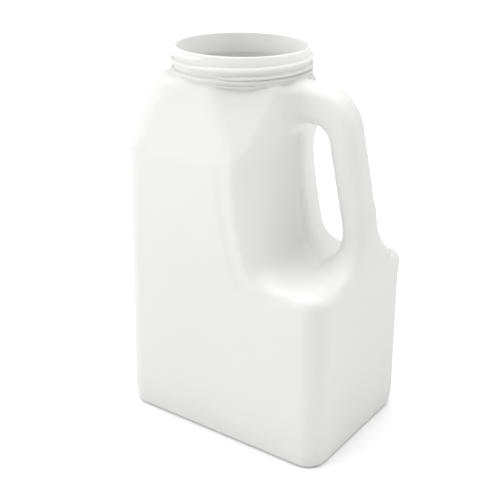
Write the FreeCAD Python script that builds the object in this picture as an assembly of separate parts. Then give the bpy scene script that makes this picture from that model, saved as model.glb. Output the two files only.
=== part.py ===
import FreeCAD, Part
import os
from math import sin, cos, tan, radians, sqrt
from FreeCAD import Vector

os.makedirs("parts", exist_ok=True)

# Blown polyethylene jug with a moulded-in handle. Sizes in mm: X runs along the
# body towards the handle, Y across it, Z up from the underside.

# body
LENGTH = 187.8          # along X at the heel
WIDTH = 135.9           # along Y at the heel
CORNER_R = 16.4         # upright corners
DRAFT = 0.01113         # every wall leans in by this much per mm of height
HEEL_Z = 14.0           # height of the tucked heel
TUCK = 1.5              # how far the underside sits inside the heel
FOOT_R = 3.0            # rounding round the underside
WALL = 1.2              # blown wall

# shoulder
SHOULDER_Z = 228.0      # the walls turn inwards here
DECK_Z = 281.7          # deck round the neck
DECK_BACK = 77.5        # reach of the deck along -X
DECK_SIDE = 54.0        # reach of the deck along Y
DECK_CORNER_R = 30.0
DECK_EDGE_R = 7.0
CUT_TURN = 35.5         # slanted cuts beside the neck: degrees round from Y
CUT_SLOPE = 0.52
CUT_REACH = 49.6        # from the neck axis at deck height
RIDGE_R = 18.0          # rounding between shoulder and slanted cut

# neck
NECK_X = -23.8
NECK_R = 52.0
NECK_WALL = 2.2
RIM_Z = 301.9
LIP_R = 1.3
BEAD_OUT = 2.2          # transfer bead, proud of the neck
BEAD_Z = 284.6

# recess round the handle
LEDGE_Z = 143.0         # flat floor of the recess
RECESS_MID = 28.8       # X of its upright wall on the middle plane
RECESS_SWEEP = 9.8      # how much further back that wall is near the wide faces
WALL_TOP_Z = 240.0      # the wall starts to lean out here
WALL_TURN = 14.0        # degrees it has turned where it meets the floor curve
FLOOR_CURVE_R = 24.0
BORDER_R = 15.0         # rounding from the recess wall into the wide faces
LEDGE_R = 9.0           # rounding round the ledge and along the handle

# handle
GRIP_HALF = 13.0        # half its width
GRIP_DEPTH = 24.0       # along X
GRIP_LEAN = 12.6        # degrees
GRIP_ARC_R = 37.0       # bend over the top
GRIP_ARC_X = 44.0       # X of that bend's centre
GRIP_KNEE_R = 70.0      # outside, where the handle joins the end wall
HAND_TOP_Z = 251.5      # top of the hand space
HAND_TOP_R = 13.0
HAND_KNEE_Z = 178.0     # the inside line straightens here
HAND_KNEE_R = 60.0
GRIP_INNER_R = 10.0     # rounding of the two edges against the fingers
GRIP_FOOT_R = 28.0      # handle into the ledge
GRIP_ROOT_R = 13.0      # handle into the shoulder

# label panel, raised on both wide faces
PANEL_RAISE = 0.8
PANEL_BEVEL = 2.0
PANEL_TOP_Z = 226.0
PANEL_MARGIN = 4.0      # from the recess rounding and from the corners

JOIN_X = 64.0           # shoulder and ledge pieces are joined on this plane
JOIN_Z = 118.0

TAN_LEAN = tan(radians(GRIP_LEAN))
SIN_LEAN = sin(radians(GRIP_LEAN))
COS_LEAN = cos(radians(GRIP_LEAN))
TOUCH = 0.01            # closer than this counts as on a surface


def half_l(z, inset=0.0):
    return LENGTH / 2 - DRAFT * (z - HEEL_Z) - inset


def half_w(z, inset=0.0):
    return WIDTH / 2 - DRAFT * (z - HEEL_Z) - inset


def line(a, b):
    return Part.LineSegment(a, b).toShape()


def arc(a, mid, b):
    return Part.Arc(a, mid, b).toShape()


def rounded_ring(x0, x1, y, r0, r1, z):
    """Closed wire at height z: a rectangle with corners of radius r0 at x0 and r1 at x1."""
    k = 1 - sqrt(0.5)

    def corner(x, y_side, sx, sy, r):
        """Start on the X side, middle, and end on the Y side of one corner."""
        return (Vector(x + sx * r, y_side, z), Vector(x + sx * r * k, y_side + sy * r * k, z),
                Vector(x, y_side + sy * r, z))

    a = corner(x0, -y, 1, 1, r0)
    b = corner(x1, -y, -1, 1, r1)
    c = corner(x1, y, -1, -1, r1)
    d = corner(x0, y, 1, -1, r0)
    return Part.Wire([line(a[0], b[0]), arc(*b), line(b[2], c[2]), arc(*c[::-1]), line(c[0], d[0]),
                      arc(*d), line(d[2], a[2]), arc(*a[::-1])])


def wall_ring(z, inset, extra=0.0):
    a = half_l(z, inset + extra)
    r = CORNER_R - inset
    return rounded_ring(-a, a, half_w(z, inset + extra), r, r, z)


def with_flat_faces(shape):
    """The same solid, with each flat face of a loft held as a true plane."""
    faces = []
    for f in shape.Faces:
        pts = [p for e in f.OuterWire.Edges for p in e.discretize(5)]
        a = pts[0]
        far = max(pts, key=lambda p: (p - a).Length)
        third = max(pts, key=lambda p: (p - a).cross(far - a).Length)
        n = (far - a).cross(third - a)
        n.normalize()
        flat = max(abs((p - a).dot(n)) for p in pts) < 1e-5
        if f.Surface.TypeId == "Part::GeomPlane" or not flat:
            faces.append(f)
            continue
        edges = []
        for e in f.OuterWire.Edges:
            ends = [v.Point for v in e.Vertexes]
            straight = len(ends) == 2 and abs(e.Length - (ends[0] - ends[1]).Length) < 1e-7
            edges.append(line(ends[0], ends[1]) if straight else e)
        faces.append(Part.Face(Part.Wire(Part.__sortEdges__(edges))))
    shell = Part.makeShell(faces)
    shell.sewShape()
    solid = Part.makeSolid(shell)
    if solid.Volume < 0:
        solid.reverse()
    return solid


def edges_where(shape, test):
    """Edges of which every point passes the test."""
    real = [e for e in shape.Edges if not e.Degenerated and e.Length > TOUCH]
    return [e for e in real if all(test(p) for p in e.discretize(7))]


def cut_plane(side, inset):
    """Point and outward normal of a slanted cut beside the neck."""
    turn = radians(CUT_TURN)
    out = Vector(sin(turn), side * cos(turn), 0)
    n = Vector(out.x, out.y, CUT_SLOPE)
    n.normalize()
    return Vector(NECK_X, 0, DECK_Z) + out * CUT_REACH - n * inset, n


def shoulder_y(z, inset):
    """Reach of the wide shoulder faces at height z."""
    low = half_w(SHOULDER_Z)
    slope = (low - DECK_SIDE) / (DECK_Z - SHOULDER_Z)
    return low - slope * (z - SHOULDER_Z) - inset * sqrt(1 + slope * slope)


def shoulder_x(z, inset):
    """Reach of the back shoulder face at height z."""
    low = half_l(SHOULDER_Z)
    slope = (low - DECK_BACK) / (DECK_Z - SHOULDER_Z)
    return low - slope * (z - SHOULDER_Z) - inset * sqrt(1 + slope * slope)


def hull(inset):
    """Drafted box with its heel, the shoulder and the two slanted cuts."""
    z_low = inset
    z_top = DECK_Z - inset
    z_turn = SHOULDER_Z - inset / 9
    low = Part.makeLoft([wall_ring(z_low, inset, TUCK), wall_ring(HEEL_Z, inset), wall_ring(z_turn, inset)],
                        True, True)
    r = CORNER_R - inset
    end = half_l(z_turn, inset)
    high = Part.makeLoft([rounded_ring(-end, end, half_w(z_turn, inset), r, r, z_turn),
                          rounded_ring(-shoulder_x(z_top, inset), end - 1, shoulder_y(z_top, inset),
                                       DECK_CORNER_R - inset, r, z_top)], True, True)
    solid = with_flat_faces(low.fuse(high))
    solid = solid.makeFillet(FOOT_R - inset, edges_where(solid, lambda p: abs(p.z - z_low) < TOUCH))
    for side in (-1, 1):
        point, n = cut_plane(side, inset)
        block = Part.makeBox(400, 400, 200, Vector(-200, -200, 0))
        block.Placement = FreeCAD.Placement(point, FreeCAD.Rotation(Vector(0, 0, 1), n))
        solid = solid.cut(block)

    def on_ridge(p):
        point, n = cut_plane(1 if p.y > 0 else -1, inset)
        on_cut = abs((p - point).dot(n)) < TOUCH
        return on_cut and p.z > z_turn - TOUCH and abs(abs(p.y) - shoulder_y(p.z, inset)) < 0.2

    return solid.makeFillet(RIDGE_R - inset, edges_where(solid, on_ridge))


def lip(y, half, r):
    """How far a rounding of radius r, ending at y = half, has turned outwards at y."""
    run = y - (half - r)
    if run <= 0:
        return 0.0
    last = r * 0.96
    if run <= last:
        return r - sqrt(r * r - run * run)
    slope = last / sqrt(r * r - last * last)
    return r - sqrt(r * r - last * last) + slope * (run - last)


def recess_outline(y, inset):
    """XZ outline of the space round the handle at distance y from the middle plane."""
    back = (abs(y) / (WIDTH / 2)) ** 2
    half = WIDTH / 2 - inset
    out_wall = lip(abs(y), half, BORDER_R - inset)
    out_floor = lip(abs(y), half, LEDGE_R - 0.5 - inset)
    x_top = RECESS_MID - RECESS_SWEEP * back - inset - out_wall
    z_floor = LEDGE_Z - inset - out_floor
    r = FLOOR_CURVE_R + inset
    t = radians(WALL_TURN + 6 * back)
    z1 = z_floor + r * (1 - sin(t))
    z_top = WALL_TOP_Z - 8 * back
    slow = (z_top - z1) / sin(t)
    x1 = x_top + slow * (1 - cos(t))
    cx = x1 + r * cos(t)
    tm = (t + radians(90)) / 2
    p = [Vector(x_top, y, 330), Vector(x_top, y, z_top), Vector(x1, y, z1), Vector(cx, y, z_floor),
         Vector(130, y, z_floor), Vector(130, y, 330)]
    slow_mid = Vector(x_top + slow * (1 - cos(t / 2)), y, z_top - slow * sin(t / 2))
    low_mid = Vector(cx - r * cos(tm), y, z_floor + r - r * sin(tm))
    return Part.Wire([line(p[0], p[1]), arc(p[1], slow_mid, p[2]), arc(p[2], low_mid, p[3]),
                      line(p[3], p[4]), line(p[4], p[5]), line(p[5], p[0])])


def recess(inset):
    """Cutter for the recess; it flares where it runs out through the wide faces."""
    half = WIDTH / 2 - inset
    r = BORDER_R - inset
    steps = [half - r + r * k for k in (0.0, 0.25, 0.45, 0.62, 0.76, 0.87, 0.96)] + [half + 4]
    ys = [-y for y in steps[::-1]] + [-half * 0.5, 0.0, half * 0.5] + steps
    return Part.makeLoft([recess_outline(y, inset) for y in ys], True, False)


def shoulder_body(inset):
    """Everything but the ledge and the handle, with its rounded edges."""
    z_top = DECK_Z - inset
    cutter = recess(inset)
    solid = hull(inset).cut(cutter)
    solid = solid.cut(Part.makeBox(200, 300, 400, Vector(JOIN_X, -150, JOIN_Z)))

    def on_deck(p):
        return abs(p.z - z_top) < TOUCH

    def on_cut(p):
        point, n = cut_plane(1 if p.y > 0 else -1, inset)
        return abs((p - point).dot(n)) < TOUCH and p.x > 0

    def on_recess(e):
        v = Part.Vertex(e.valueAt((e.FirstParameter + e.LastParameter) / 2))
        return cutter.Shells[0].distToShape(v)[0] < TOUCH

    rim = edges_where(solid, on_deck)
    nose = [e for e in edges_where(solid, on_cut) if on_recess(e) and e.BoundBox.ZLength > 10]
    return solid.makeFillet(DECK_EDGE_R - inset, rim + nose)


def ledge_block(inset):
    """Top slice of the lower body, flat on top, where the handle stands."""
    slab = Part.makeLoft([wall_ring(JOIN_Z, inset), wall_ring(LEDGE_Z - inset, inset)], True, True)
    reach = JOIN_X - 14
    return with_flat_faces(slab).cut(Part.makeBox(400, 400, 400, Vector(reach - 400, -200, 0)))


def strap_line(inset):
    """Where the leaning outer line leaves the top bend, and where it meets the end wall."""
    r = GRIP_ARC_R - inset
    bend = Vector(GRIP_ARC_X + r * COS_LEAN, 0, DECK_Z - GRIP_ARC_R + r * SIN_LEAN)
    z = (bend.x + bend.z * TAN_LEAN - half_l(0, inset)) / (TAN_LEAN - DRAFT)
    return bend, Vector(half_l(z, inset), 0, z)


def inner_x(z, inset):
    """Leaning inside line of the handle."""
    bend = strap_line(0.0)[0]
    return bend.x + (bend.z - z) * TAN_LEAN - GRIP_DEPTH + inset / COS_LEAN


def fillet_at(solid, x, z, r):
    """Round the edge that runs along Y through (x, z)."""
    def through(p):
        return abs(p.x - x) < TOUCH and abs(p.z - z) < TOUCH

    return solid.makeFillet(r, edges_where(solid, through))


def hand_space(inset):
    """Cutter for the opening between handle and body."""
    top = HAND_TOP_Z + inset
    knee = inner_x(HAND_KNEE_Z, inset)
    start = GRIP_ARC_X - 34
    pts = [Vector(start, -50, top), Vector(inner_x(top, inset), -50, top), Vector(knee, -50, HAND_KNEE_Z),
           Vector(knee + 0.5, -50, JOIN_Z - 10), Vector(start, -50, JOIN_Z - 10)]
    block = Part.Face(Part.makePolygon(pts + pts[:1])).extrude(Vector(0, 100, 0))
    block = fillet_at(block, pts[1].x, top, HAND_TOP_R + inset)
    return fillet_at(block, knee, HAND_KNEE_Z, HAND_KNEE_R + inset)


def handle(inset):
    """Leaning strap, before its edges are rounded."""
    half = GRIP_HALF - inset
    top = DECK_Z - inset
    bend, meet = strap_line(inset)
    r = GRIP_ARC_R - inset
    start = GRIP_ARC_X - 38
    pts = [Vector(start, -half, top), Vector(GRIP_ARC_X, -half, top), Vector(bend.x, -half, bend.z),
           Vector(meet.x, -half, meet.z), Vector(half_l(JOIN_Z, inset), -half, JOIN_Z),
           Vector(start, -half, JOIN_Z)]
    mid = Vector(GRIP_ARC_X + r * sqrt(0.5), -half, top - r + r * sqrt(0.5))
    edges = [line(pts[0], pts[1]), arc(pts[1], mid, pts[2])]
    edges += [line(a, b) for a, b in zip(pts[2:], pts[3:] + pts[:1])]
    strap = Part.Face(Part.Wire(edges)).extrude(Vector(0, 2 * half, 0))
    return fillet_at(strap, meet.x, meet.z, GRIP_KNEE_R - inset)


def grip(inset):
    """Ledge and handle as one piece, with their rounded edges."""
    floor = LEDGE_Z - inset
    half = GRIP_HALF - inset
    hole = hand_space(inset)
    solid = ledge_block(inset).fuse(handle(inset).cut(hole)).removeSplitter()

    def on_side(p):
        return abs(abs(p.y) - half) < TOUCH

    def on_hole(p):
        return hole.distToShape(Part.Vertex(p))[0] < TOUCH

    def on_floor(p):
        return abs(p.z - floor) < TOUCH

    def on_end(p):
        return abs(p.x - half_l(p.z, inset)) < 2 * TOUCH and p.z > floor - TOUCH

    def on_wide(p):
        return abs(abs(p.y) - half_w(p.z, inset)) < 2 * TOUCH and p.z > floor - TOUCH

    def on_corner(p):
        return on_floor(p) and p.x > half_l(floor) - CORNER_R - 1 and abs(p.y) > half_w(floor) - CORNER_R - 1

    def strap_foot(p):
        return on_floor(p) and abs(p.y) < half + TOUCH and p.x > half_l(floor) - GRIP_DEPTH - 5

    inner = [e for e in edges_where(solid, lambda p: on_side(p) and on_hole(p))
             if e.CenterOfMass.x > GRIP_ARC_X - 33]
    solid = solid.makeFillet(GRIP_INNER_R - inset, inner)
    foot = [e for e in edges_where(solid, strap_foot) if abs(e.CenterOfMass.x - half_l(floor, inset)) > 0.1]
    solid = solid.makeFillet(GRIP_FOOT_R + inset, foot)
    outer = edges_where(solid, lambda p: on_end(p) or on_wide(p) or on_corner(p)
                        or on_side(p) and p.z > floor + 20 and not on_hole(p))
    outer = [e for e in outer if abs(e.CenterOfMass.y) > half - 0.1]
    return solid.makeFillet(LEDGE_R - inset, outer)


def label_panel(side, inset):
    """Low raised field on a wide face, following the recess at an even distance."""
    def outline(proud, grow):
        """Wire at height proud above the wall, grown sideways by grow."""
        away = PANEL_MARGIN - grow
        end = LENGTH / 2 - CORNER_R - 1 + grow
        r = FLOOR_CURVE_R + away
        t = radians(WALL_TURN + 6)
        z_floor = LEDGE_Z - LEDGE_R - away
        z_wall = WALL_TOP_Z - 8
        z1 = z_floor + r * (1 - sin(t))
        slow = (z_wall - z1) / sin(t)
        x_wall = RECESS_MID - RECESS_SWEEP - BORDER_R - away
        x1 = x_wall + slow * (1 - cos(t))
        cx = x1 + r * cos(t)
        top = PANEL_TOP_Z + grow
        bottom = HEEL_Z + 3 - grow
        turn = 7 + grow

        def wall_x(z):
            return x_wall + slow - sqrt(slow * slow - (z_wall - z) ** 2)

        def at(x, z):
            return Vector(x, side * (half_w(z, inset) + proud), z)

        def round_corner(x, z, sx, sz, r):
            """Arc points of an outline corner at (x, z) that opens towards sx, sz."""
            k = r * (1 - sqrt(0.5))
            return at(x + sx * r, z), at(x + sx * k, z + sz * k), at(x, z + sz * r)

        x_turn = wall_x(top - turn)
        z_mid = (top - turn + z1) / 2
        tm = (t + radians(90)) / 2
        small = 3 + grow
        a = round_corner(-end, top, 1, -1, small)
        b = round_corner(x_turn, top, -1, -1, turn)
        c = round_corner(end, z_floor, -1, -1, small)
        d = round_corner(end, bottom, -1, 1, small)
        e = round_corner(-end, bottom, 1, 1, small)
        low = at(x1, z1)
        floor_start = at(cx, z_floor)
        return Part.Wire([line(a[0], b[0]), arc(*b), arc(b[2], at(wall_x(z_mid), z_mid), low),
                          arc(low, at(cx - r * cos(tm), z_floor + r - r * sin(tm)), floor_start),
                          line(floor_start, c[0]), arc(*c), line(c[2], d[2]), arc(*d[::-1]),
                          line(d[0], e[0]), arc(*e), line(e[2], a[2]), arc(*a[::-1])])

    bevel = PANEL_BEVEL / PANEL_RAISE
    return Part.makeLoft([outline(-1.0, bevel), outline(PANEL_RAISE, -inset / 3)], True, True)


def jug(inset):
    """Body, handle and panels as one solid, all surfaces moved in by inset."""
    left = shoulder_body(inset)
    right = grip(inset)
    solid = left.fuse(right).removeSplitter()
    half = GRIP_HALF - inset

    def at_root(p):
        return p.z > HAND_TOP_Z - 5 and p.x < GRIP_ARC_X and abs(p.y) < half + TOUCH

    def on_seam(e):
        v = Part.Vertex(e.valueAt((e.FirstParameter + e.LastParameter) / 2))
        return all(s.Shells[0].distToShape(v)[0] < TOUCH for s in (left, right))

    root = [e for e in edges_where(solid, at_root) if on_seam(e)]
    solid = solid.makeFillet(GRIP_ROOT_R + inset, root)
    for side in (-1, 1):
        solid = solid.fuse(label_panel(side, inset))
    return solid.removeSplitter()


def neck():
    """Turned neck with a transfer bead at its foot and a rounded lip."""
    r_in = NECK_R - NECK_WALL
    z0 = DECK_Z - WALL
    foot = NECK_R + 1.2
    bead = NECK_R + BEAD_OUT
    k = LIP_R * sqrt(0.5)
    profile = [(r_in, z0), (foot, z0), (foot, DECK_Z), (bead, BEAD_Z - 1.4), (bead, BEAD_Z + 0.2),
               (NECK_R, BEAD_Z + 2.0), (NECK_R, RIM_Z - LIP_R)]
    pts = [Vector(r, 0, z) for r, z in profile]
    top = Vector(NECK_R - LIP_R, 0, RIM_Z)
    middle = Vector(NECK_R - LIP_R + k, 0, RIM_Z - LIP_R + k)
    rim = Vector(r_in, 0, RIM_Z)
    edges = [line(a, b) for a, b in zip(pts, pts[1:])]
    edges += [arc(pts[-1], middle, top), line(top, rim), line(rim, pts[0])]
    turned = Part.Face(Part.Wire(edges)).revolve(Vector(0, 0, 0), Vector(0, 0, 1), 360)
    turned.translate(Vector(NECK_X, 0, 0))
    return turned


def build():
    inside = jug(WALL)
    bore = Part.makeCylinder(NECK_R - NECK_WALL, 30, Vector(NECK_X, 0, DECK_Z - 15))
    shell = jug(0.0).cut(inside.fuse(bore))
    whole = shell.fuse(neck()).removeSplitter()
    return whole if whole.ShapeType == "Solid" else whole.Solids[0]


build().exportStep("parts/jug.step")
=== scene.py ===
import bpy, bmesh, math
import numpy as np
from math import sin, cos, pi, radians
from mathutils import Matrix, Vector
from mathutils.bvhtree import BVHTree


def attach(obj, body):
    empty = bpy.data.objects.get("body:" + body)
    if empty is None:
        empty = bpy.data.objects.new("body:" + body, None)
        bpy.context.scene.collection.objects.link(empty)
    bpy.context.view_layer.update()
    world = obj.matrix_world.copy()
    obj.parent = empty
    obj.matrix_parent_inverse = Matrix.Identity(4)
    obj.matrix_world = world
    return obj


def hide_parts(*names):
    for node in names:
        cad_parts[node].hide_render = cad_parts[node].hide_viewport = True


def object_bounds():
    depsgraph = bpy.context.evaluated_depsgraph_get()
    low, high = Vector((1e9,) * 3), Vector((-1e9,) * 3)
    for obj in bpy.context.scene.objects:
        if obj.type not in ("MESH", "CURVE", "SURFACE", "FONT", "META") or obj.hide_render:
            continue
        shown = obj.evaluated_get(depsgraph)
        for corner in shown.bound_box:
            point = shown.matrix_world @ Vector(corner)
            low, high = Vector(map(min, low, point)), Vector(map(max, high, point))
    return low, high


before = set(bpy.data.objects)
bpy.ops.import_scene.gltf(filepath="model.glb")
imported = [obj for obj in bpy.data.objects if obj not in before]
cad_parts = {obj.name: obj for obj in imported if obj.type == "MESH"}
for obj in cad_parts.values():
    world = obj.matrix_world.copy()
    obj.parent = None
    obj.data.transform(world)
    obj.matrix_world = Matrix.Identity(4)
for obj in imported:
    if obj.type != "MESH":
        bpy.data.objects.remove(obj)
lo0, hi0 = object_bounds()

# ---------------------------------------------------------------- camera
AZ, EL, ROLL = radians(35.051), radians(23.028), radians(0.406)
CAMERA_AT = (0.3845, -0.5697, 0.4310)     # metres
FOCAL_PX, IMAGE_PX, SENSOR_MM = 923.326, 500.0, 36.0
NEAREST, FARTHEST = 0.01, 50.0            # metres
back = Vector((sin(AZ) * cos(EL), -cos(AZ) * cos(EL), sin(EL))).normalized()
right = Vector((cos(AZ), sin(AZ), 0))
up = back.cross(right)
rolled_right = right * cos(ROLL) + up * sin(ROLL)
rolled_up = up * cos(ROLL) - right * sin(ROLL)
cam_data = bpy.data.cameras.new("camera")
cam = bpy.data.objects.new("camera", cam_data)
bpy.context.collection.objects.link(cam)
cam_data.sensor_width = SENSOR_MM
cam_data.lens = SENSOR_MM * FOCAL_PX / IMAGE_PX
cam_data.clip_start = NEAREST
cam_data.clip_end = FARTHEST
cam.matrix_world = Matrix((
    (rolled_right.x, rolled_up.x, back.x, CAMERA_AT[0]),
    (rolled_right.y, rolled_up.y, back.y, CAMERA_AT[1]),
    (rolled_right.z, rolled_up.z, back.z, CAMERA_AT[2]),
    (0, 0, 0, 1)))
bpy.context.scene.camera = cam


# ---------------------------------------------------------------- materials
def new_material(name):
    m = bpy.data.materials.new(name)
    m.use_nodes = True
    nt = m.node_tree
    bsdf = nt.nodes["Principled BSDF"]
    return m, nt, bsdf


def node(nt, kind, **values):
    n = nt.nodes.new(kind)
    for k, v in values.items():
        if k in n.inputs:
            n.inputs[k].default_value = v
        else:
            setattr(n, k, v)
    return n


TONE_DARK, TONE_LIGHT = (0.828, 0.826, 0.818, 1), (0.858, 0.858, 0.855, 1)
TONE_FROM, TONE_TO = 0.3, 0.75            # share of the noise where each tone is reached
LIT_THROUGH = (0.975, 0.973, 0.968, 1)
GRAIN_SHARE = 0.08                        # height of the grain beside the slow unevenness
ROUGH_LOW, ROUGH_HIGH = 0.34, 0.46
IOR = 1.5


def polyethylene(name, see_through):
    """White blown polyethylene: soft sheen, faint flow marks and scuffs, lit through where thin."""
    m, nt, b = new_material(name)
    link = nt.links.new
    tc = node(nt, "ShaderNodeTexCoord")
    pos = tc.outputs["Object"]
    # slow variation of the tone
    tone = node(nt, "ShaderNodeTexNoise", Scale=9.0, Detail=3.0, Roughness=0.5)
    link(pos, tone.inputs["Vector"])
    ramp = node(nt, "ShaderNodeValToRGB")
    ramp.color_ramp.elements[0].position = TONE_FROM
    ramp.color_ramp.elements[0].color = TONE_DARK
    ramp.color_ramp.elements[1].position = TONE_TO
    ramp.color_ramp.elements[1].color = TONE_LIGHT
    link(tone.outputs["Fac"], ramp.inputs["Fac"])
    link(ramp.outputs["Color"], b.inputs["Base Color"])
    # fine grain of the mould
    grain = node(nt, "ShaderNodeTexNoise", Scale=900.0, Detail=3.0, Roughness=0.6)
    link(pos, grain.inputs["Vector"])
    # slow unevenness of a blown wall
    wall = node(nt, "ShaderNodeTexNoise", Scale=22.0, Detail=2.0, Roughness=0.4)
    link(pos, wall.inputs["Vector"])
    mul = node(nt, "ShaderNodeMath", operation="MULTIPLY")
    mul.inputs[1].default_value = GRAIN_SHARE
    link(grain.outputs["Fac"], mul.inputs[0])
    add = node(nt, "ShaderNodeMath", operation="ADD")
    link(mul.outputs[0], add.inputs[0])
    link(wall.outputs["Fac"], add.inputs[1])
    bump = node(nt, "ShaderNodeBump", Strength=0.12, Distance=0.0012)
    link(add.outputs[0], bump.inputs["Height"])
    link(bump.outputs["Normal"], b.inputs["Normal"])
    # roughness, with a few rubbed places
    rubbed = node(nt, "ShaderNodeTexNoise", Scale=30.0, Detail=6.0, Roughness=0.65)
    link(pos, rubbed.inputs["Vector"])
    sheen = node(nt, "ShaderNodeMapRange")
    sheen.inputs["To Min"].default_value = ROUGH_LOW
    sheen.inputs["To Max"].default_value = ROUGH_HIGH
    link(rubbed.outputs["Fac"], sheen.inputs["Value"])
    link(sheen.outputs["Result"], b.inputs["Roughness"])
    b.inputs["IOR"].default_value = IOR
    glow = node(nt, "ShaderNodeBsdfTranslucent")
    glow.inputs["Color"].default_value = LIT_THROUGH
    link(bump.outputs["Normal"], glow.inputs["Normal"])
    mix = node(nt, "ShaderNodeMixShader")
    mix.inputs[0].default_value = see_through
    link(b.outputs["BSDF"], mix.inputs[1])
    link(glow.outputs["BSDF"], mix.inputs[2])
    link(mix.outputs["Shader"], nt.nodes["Material Output"].inputs["Surface"])
    return m


# share of the light that comes through: the blown wall, and its thick ridges
HDPE = polyethylene("white_polyethylene", 0.4)
HDPE_THICK = polyethylene("white_polyethylene_thick", 0.0)

# ---------------------------------------------------------------- jug
# sizes of the solid that the pieces share with it, in mm
MM = 0.001
LENGTH, WIDTH, DRAFT, HEEL_Z = 187.8, 135.9, 0.01113, 14.0
WALL, SHOULDER_Z, DECK_Z, RIM_Z = 1.2, 228.0, 281.7, 301.9
NECK_X, NECK_R, NECK_WALL, LIP_R = -23.8, 52.0, 2.2, 1.3
BEAD_OUT, BEAD_Z = 2.2, 284.6
LEDGE_Z = 143.0
GRIP_HALF, GRIP_FOOT_R = 13.0, 28.0
VOXEL = 1.5

# how the blown shape departs from the solid
FAR_SHIFT, FAR_DROP, END_DROP = 15.5, 16.0, 3.5
FLARE_R, FLARE_Z, FLARE_END = 68.0, 206.0, 58.0
KNEE_Z, KNEE_RUN = 200.0, 9
END_GAP = 0.1                             # kept between the handle and the end of the jug

# from and to in mm, between which a change fades in (IN) or out (OUT)
BACK_Y, BACK_X_IN, BACK_X_OUT = (8, 60), (-75, -14), (42, 66)
BACK_Z_IN, BACK_Z_OUT = (100, 128), (215, 264)
DROP_Y, DROP_Z_IN, DROP_Z_OUT = (40, 68), (86, 126), (150, 190)
DROP_X_IN, DROP_X_END = (-24, 6), (34, 68)
SWEEP_X, SWEEP_Z = (50, 66), (118, 140)
LEAN_X, LEAN_Y_OUT, LEAN_Z = (70, 86), (20, 50), (138, 156)
PANEL_X_OUT = (50, 72)

# smoothing of the skin: weight and rounds, all over and along the far and near ledge corners
EVEN_WEIGHT, EVEN_ROUNDS = 0.5, 3
CORNER_WEIGHT, CORNER_ROUNDS = 0.6, 40
CORNER_X, CORNER_SPREAD, CORNER_Y = 64, 9, 30
CORNER_Z_IN, CORNER_Z_OUT = (118, 126), (150, 156)

MERGE = 0.001                             # points of the solid closer than this are one
NECK_CUT = 3                              # the neck is taken off this far under the deck
NECK_REACH = 1.6                          # and this far outside its radius
MOUTH_INSET = 0.8                         # the mouth in the deck is this much under its radius
KEPT_FACES = 0.42

# turned neck
NECK_SINK, NECK_STEP, NECK_SIDES = 0.4, 0.3, 320
BORE_RISE, BORE_TOP, MOUTH_R = 8, 2.0, 0.5
BEAD_HALF = (0.5, 1.9)                    # half height of the bead, at its crest and its foot
BEAD_DROP, BEAD_RUN = 0.4, 2.4
COLLAR_IN, COLLAR_OUT, COLLAR_RISE = 0.6, 1.4, 0.2

# raised lines: width and height, and where rays start outside the jug
HANDLE_LINE, REAR_LINE, FLASH_LINE = (0.8, 0.12), (0.9, 0.15), (0.9, 0.16)
RIDGE_SINK, RIDGE_CREST = 0.15, 0.4
ABOVE, BEYOND = 320, 120
FLASH_Y, FLASH_TOP, FLASH_TURN = 1.3, 242, 170

# screw thread: one start, right-handed, almost two turns
THREAD_OUT = 2.45
THREAD_START, THREAD_RUN = radians(283), radians(714)
THREAD_LOW, THREAD_HIGH = 286.4, 298.4
THREAD_CREST, THREAD_FOOT = 0.45, 1.7     # half widths
THREAD_FADE = radians(16)


def ease(x, a, b):
    """0 at a and 1 at b, with a smooth turn at both; works on arrays."""
    t = np.clip((x - a) / (b - a), 0.0, 1.0)
    return t * t * (3 - 2 * t)


def evaluated(obj):
    """Mesh of obj with its modifiers; obj itself is removed."""
    bpy.context.view_layer.update()
    graph = bpy.context.evaluated_depsgraph_get()
    mesh = bpy.data.meshes.new_from_object(obj.evaluated_get(graph))
    bpy.data.objects.remove(obj)
    return mesh


def scratch(mesh):
    obj = bpy.data.objects.new("scratch", mesh)
    bpy.context.collection.objects.link(obj)
    return obj


def get_points(mesh):
    co = np.empty(len(mesh.vertices) * 3)
    mesh.vertices.foreach_get("co", co)
    return co.reshape(-1, 3)


def set_points(mesh, co):
    mesh.vertices.foreach_set("co", co.ravel())
    mesh.update()


def piece(name, mesh, material):
    """One visible piece of the jug, in place of its solid."""
    mesh.materials.clear()
    mesh.materials.append(material)
    mesh.polygons.foreach_set("use_smooth", [True] * len(mesh.polygons))
    obj = bpy.data.objects.new(name, mesh)
    bpy.context.collection.objects.link(obj)
    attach(obj, "root")
    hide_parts("jug")


def outer_skin():
    """Outside of the solid in mm, without its neck, closed at the deck."""
    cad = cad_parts["jug"]
    bm = bmesh.new()
    bm.from_mesh(cad.data)
    bm.transform(Matrix.Scale(1 / MM, 4) @ cad.matrix_world)
    bmesh.ops.remove_doubles(bm, verts=bm.verts, dist=MERGE)

    def in_neck(v):
        return (v.co.z > DECK_Z - NECK_CUT
                and math.hypot(v.co.x - NECK_X, v.co.y) < NECK_R + NECK_REACH)

    neck = [f for f in bm.faces if all(in_neck(v) for v in f.verts)]
    bmesh.ops.delete(bm, geom=neck, context="FACES")
    first = min(bm.verts, key=lambda v: v.co.z)
    outside = {first}
    front = [first]
    while front:
        for e in front.pop().link_edges:
            for v in e.verts:
                if v not in outside:
                    outside.add(v)
                    front.append(v)
    bmesh.ops.delete(bm, geom=[v for v in bm.verts if v not in outside], context="VERTS")
    bmesh.ops.holes_fill(bm, edges=[e for e in bm.edges if e.is_boundary], sides=0)
    mesh = bpy.data.meshes.new("skin")
    bm.to_mesh(mesh)
    bm.free()
    obj = scratch(mesh)
    remesh = obj.modifiers.new("even", "REMESH")
    remesh.mode = "VOXEL"
    remesh.voxel_size = VOXEL
    return evaluated(obj)


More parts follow.
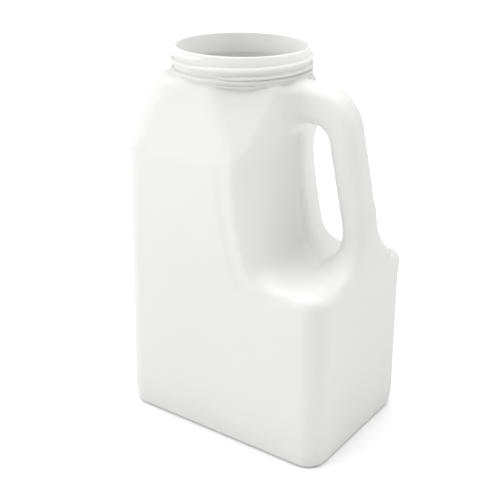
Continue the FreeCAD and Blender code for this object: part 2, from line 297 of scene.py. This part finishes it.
def relax(mesh, co, weight, rounds):
    """Moves each point towards the mean of its neighbours, by its weight."""
    pairs = np.empty(len(mesh.edges) * 2, dtype=np.int64)
    mesh.edges.foreach_get("vertices", pairs)
    a, b = pairs.reshape(-1, 2).T
    count = np.bincount(a, minlength=len(co)) + np.bincount(b, minlength=len(co))
    for _ in range(rounds):
        mean = np.stack([np.bincount(a, co[b, k], len(co)) + np.bincount(b, co[a, k], len(co))
                         for k in range(3)], axis=1) / count[:, None]
        co = co + (mean - co) * weight[:, None]
    return co


def far_recess(co):
    """The far half of the recess runs further back, and its floor rounds off lower."""
    x, y, z = co.T
    side = np.clip((y - BACK_Y[0]) / (BACK_Y[1] - BACK_Y[0]), 0, 1)
    along = ease(x, *BACK_X_IN) * (1 - ease(x, *BACK_X_OUT))
    high = ease(z, *BACK_Z_IN) * (1 - ease(z, *BACK_Z_OUT))
    co[:, 0] -= FAR_SHIFT * side * along * high
    edge = ease(y, *DROP_Y) * ease(z, *DROP_Z_IN) * (1 - ease(z, *DROP_Z_OUT))
    depth = FAR_DROP - (FAR_DROP - END_DROP) * ease(x, *DROP_X_END)
    co[:, 2] -= edge * ease(x, *DROP_X_IN) * depth
    return co


def handle_foot(co):
    """The handle leans out to the end of the jug; its far edge sweeps wide into the ledge."""
    x, y, z = co.T
    height = np.clip(z, LEDGE_Z, None)
    fillet = GRIP_FOOT_R - np.sqrt(GRIP_FOOT_R ** 2
                                   - np.clip(LEDGE_Z + GRIP_FOOT_R - height, 0, None) ** 2)
    sweep = FLARE_R - np.sqrt(FLARE_R ** 2 - np.clip(FLARE_Z - height, 0, None) ** 2)
    now, then = GRIP_HALF + fillet, GRIP_HALF + sweep
    beyond = then + (y - now) * (FLARE_END - then) / (FLARE_END - now)
    moved = np.where(y < now, y * then / now, beyond)
    share = ease(x, *SWEEP_X) * ease(z, *SWEEP_Z) * (y > 0) * (y < FLARE_END)
    out = np.clip((KNEE_Z - z) / KNEE_RUN, 0, 1) * ease(z, *LEAN_Z)
    end = LENGTH / 2 - DRAFT * (z - HEEL_Z)
    co[:, 0] += ((LENGTH / 2 - END_GAP - end) * out * ease(x, *LEAN_X)
                 * (1 - ease(np.abs(y), *LEAN_Y_OUT)))
    co[:, 1] += (moved - y) * share
    return co


def blown_body():
    mesh = outer_skin()
    co = get_points(mesh)
    x, y, z = co.T
    co = relax(mesh, co, np.full(len(co), EVEN_WEIGHT), EVEN_ROUNDS)
    seam = (np.exp(-((x - CORNER_X) / CORNER_SPREAD) ** 2)
            * ease(z, *CORNER_Z_IN) * (1 - ease(z, *CORNER_Z_OUT)))
    co = relax(mesh, co, CORNER_WEIGHT * seam * (np.abs(y) > CORNER_Y), CORNER_ROUNDS)
    # the panels sink into the wide faces before the upright corners
    x, y, z = co.T
    wide = WIDTH / 2 - DRAFT * (z - HEEL_Z)
    proud = np.abs(y) - wide
    fade = ease(np.abs(x), *PANEL_X_OUT)
    on_panel = (proud > 0) & (z > HEEL_Z) & (z < SHOULDER_Z)
    co[:, 1] = np.where(on_panel, np.sign(y) * (wide + proud * (1 - fade)), y)
    co = handle_foot(far_recess(co))
    lowest, highest = [np.array(v) / MM for v in (lo0, hi0)]
    co = np.clip(co, lowest, highest)
    set_points(mesh, co * MM)
    bm = bmesh.new()
    bm.from_mesh(mesh)

    def in_mouth(v):
        return (v.co.z > (DECK_Z - NECK_CUT) * MM
                and math.hypot(v.co.x - NECK_X * MM, v.co.y) < (NECK_R - MOUTH_INSET) * MM)

    mouth = [f for f in bm.faces if all(in_mouth(v) for v in f.verts)]
    bmesh.ops.delete(bm, geom=mouth, context="FACES")
    bm.to_mesh(mesh)
    bm.free()
    obj = scratch(mesh)
    fewer = obj.modifiers.new("fewer", "DECIMATE")
    fewer.ratio = KEPT_FACES
    skin = evaluated(obj)
    obj = scratch(skin.copy())
    wall = obj.modifiers.new("wall", "SOLIDIFY")
    wall.thickness = WALL * MM
    wall.offset = -1.0
    return skin, evaluated(obj)


def thread_out(turn, z):
    """How far the thread stands out of the neck at that angle and height."""
    out = 0.0
    for winding in range(3):
        run = (turn - THREAD_START) % (2 * pi) + 2 * pi * winding
        if run > THREAD_RUN:
            continue
        crest = THREAD_LOW + (THREAD_HIGH - THREAD_LOW) * run / THREAD_RUN
        section = 1 - ease(abs(z - crest), THREAD_CREST, THREAD_FOOT)
        ends = ease(run, 0, THREAD_FADE) * ease(THREAD_RUN - run, 0, THREAD_FADE)
        out = max(out, THREAD_OUT * section * ends)
    return out


def closed_mesh(name, verts, faces):
    """Mesh of those faces, with their normals outwards."""
    mesh = bpy.data.meshes.new(name)
    mesh.from_pydata(verts, [], faces)
    bm = bmesh.new()
    bm.from_mesh(mesh)
    bmesh.ops.recalc_face_normals(bm, faces=bm.faces)
    bm.to_mesh(mesh)
    bm.free()
    return mesh


def neck_mesh():
    """Turned neck with bead, rounded lip and the raised thread."""
    inner = NECK_R - NECK_WALL
    foot = DECK_Z - WALL - NECK_SINK
    profile = [(inner, foot), (inner, DECK_Z), (inner, DECK_Z + BORE_RISE), (inner, RIM_Z - BORE_TOP)]
    profile += [(inner + MOUTH_R * (1 - cos(t)), RIM_Z - MOUTH_R + MOUTH_R * sin(t))
                for t in (0.0, 0.8, pi / 2)]
    profile += [(NECK_R - LIP_R + LIP_R * sin(t), RIM_Z - LIP_R + LIP_R * cos(t))
                for t in (0.0, 0.4, 0.8, 1.2, pi / 2)]
    z = RIM_Z - LIP_R - NECK_STEP
    while z > BEAD_Z - BEAD_RUN:
        profile.append((NECK_R, z))
        z -= NECK_STEP
    profile += [(NECK_R + COLLAR_IN, DECK_Z + COLLAR_RISE),
                (NECK_R + COLLAR_OUT, DECK_Z - COLLAR_RISE), (NECK_R + COLLAR_OUT, foot)]
    verts, faces = [], []
    for k in range(NECK_SIDES):
        turn = 2 * pi * k / NECK_SIDES
        for r, z in profile:
            if r > NECK_R - LIP_R and DECK_Z < z:
                bead = BEAD_OUT * (1 - ease(abs(z - BEAD_Z + BEAD_DROP), *BEAD_HALF))
                r = r + max(bead, thread_out(turn, z))
            verts.append(((NECK_X + r * cos(turn)) * MM, r * sin(turn) * MM, z * MM))
    n = len(profile)
    for k in range(NECK_SIDES):
        for i in range(n):
            a, b = k * n + i, k * n + (i + 1) % n
            c, d = (k + 1) % NECK_SIDES * n + (i + 1) % n, (k + 1) % NECK_SIDES * n + i
            faces.append((a, b, c, d))
    return closed_mesh("neck", verts, faces)


def ridge_mesh(tree, rays, width, height):
    """Fine raised line where the rays, given in mm, meet the skin."""
    hits = []
    for start, way in rays:
        spot, normal, _, _ = tree.ray_cast(Vector(start) * MM, Vector(way))
        if spot is not None:
            hits.append((spot, normal))
    side = Vector((0, width * MM / 2, 0))
    verts, faces = [], []
    for spot, normal in hits:
        flat = Vector((normal.x, 0, normal.z)).normalized()
        sunk = spot - flat * RIDGE_SINK * MM
        top = spot + flat * height * MM
        verts += [sunk - side, top - side * RIDGE_CREST, top + side * RIDGE_CREST, sunk + side]
    for k in range(len(hits) - 1):
        for i in range(4):
            j = (i + 1) % 4
            faces.append((4 * k + i, 4 * k + j, 4 * k + 4 + j, 4 * k + 4 + i))
    last = 4 * (len(hits) - 1)
    faces += [(3, 2, 1, 0), (last, last + 1, last + 2, last + 3)]
    return closed_mesh("ridge", verts, faces)


def parting_lines(skin):
    """Lines left by the two halves of the mould, on the middle plane and inside the handle."""
    tree = BVHTree.FromPolygons([v.co.copy() for v in skin.vertices],
                                [tuple(p.vertices) for p in skin.polygons])
    down, west, east = (0, 0, -1), (-1, 0, 0), (1, 0, 0)
    handle = [((x, 0, ABOVE), down) for x in np.arange(31.5, 72, 1.5)]
    handle += [((BEYOND, 0, z), west) for z in np.arange(271, 246, -2.0)]
    rear = [((-BEYOND, 0, z), east) for z in np.arange(30, 272, 2.0)]
    rear += [((x, 0, ABOVE), down) for x in np.arange(-85.5, -78, 1.5)]
    piece("parting_line_handle", ridge_mesh(tree, handle, *HANDLE_LINE), HDPE_THICK)
    piece("parting_line_rear", ridge_mesh(tree, rear, *REAR_LINE), HDPE_THICK)
    for y, name in ((-FLASH_Y, "flash_near"), (FLASH_Y, "flash_far")):
        wall = [((50, y, z), west) for z in np.arange(FLASH_TOP, FLASH_TURN, -1.5)]
        wall += [((54, y, FLASH_TURN), (-cos(t), 0, -sin(t)))
                 for t in np.arange(0.04, 1.6, 0.04)]
        piece(name, ridge_mesh(tree, wall, *FLASH_LINE), HDPE_THICK)


skin, body_mesh = blown_body()
piece("blown_body", body_mesh, HDPE)
piece("threaded_neck", neck_mesh(), HDPE)
parting_lines(skin)
bpy.data.meshes.remove(skin)

# ---------------------------------------------------------------- stage
FLOOR_TONE, FLOOR_ROUGHNESS, FLOOR_HALF = 0.82, 0.9, 6.0
WORLD_LIGHT = 0.34
SUNS = (     # name, direction it comes from, strength, softness in degrees
    ("key", (-0.72, -0.54, 0.42), 0.52, 60),
    ("overhead", (0.0, 0.1, 1.0), 1.10, 80),
    ("right_back", (0.80, 0.35, 0.50), 0.10, 60))

paper, _, paper_bsdf = new_material("paper_floor")
paper_bsdf.inputs["Base Color"].default_value = (FLOOR_TONE, FLOOR_TONE, FLOOR_TONE, 1)
paper_bsdf.inputs["Roughness"].default_value = FLOOR_ROUGHNESS
bm = bmesh.new()
bmesh.ops.create_grid(bm, x_segments=8, y_segments=8, size=FLOOR_HALF)
me = bpy.data.meshes.new("floor")
bm.to_mesh(me)
bm.free()
floor = bpy.data.objects.new("floor", me)
bpy.context.collection.objects.link(floor)
me.materials.append(paper)


def sun(name, toward, strength, softness):
    """Soft light from that direction; strength 1 lights a facing white sheet to white."""
    d = bpy.data.lights.new(name, "SUN")
    d.energy = strength * pi
    d.angle = radians(softness)
    o = bpy.data.objects.new(name, d)
    bpy.context.collection.objects.link(o)
    o.rotation_euler = Vector(toward).to_track_quat("Z", "Y").to_euler()


world = bpy.data.worlds.new("studio")
bpy.context.scene.world = world
world.use_nodes = True
bg = world.node_tree.nodes["Background"]
bg.inputs["Color"].default_value = (1, 1, 1, 1)
bg.inputs["Strength"].default_value = WORLD_LIGHT

for values in SUNS:
    sun(*values)

sc = bpy.context.scene
sc.view_settings.view_transform = "Standard"
sc.view_settings.look = "None"
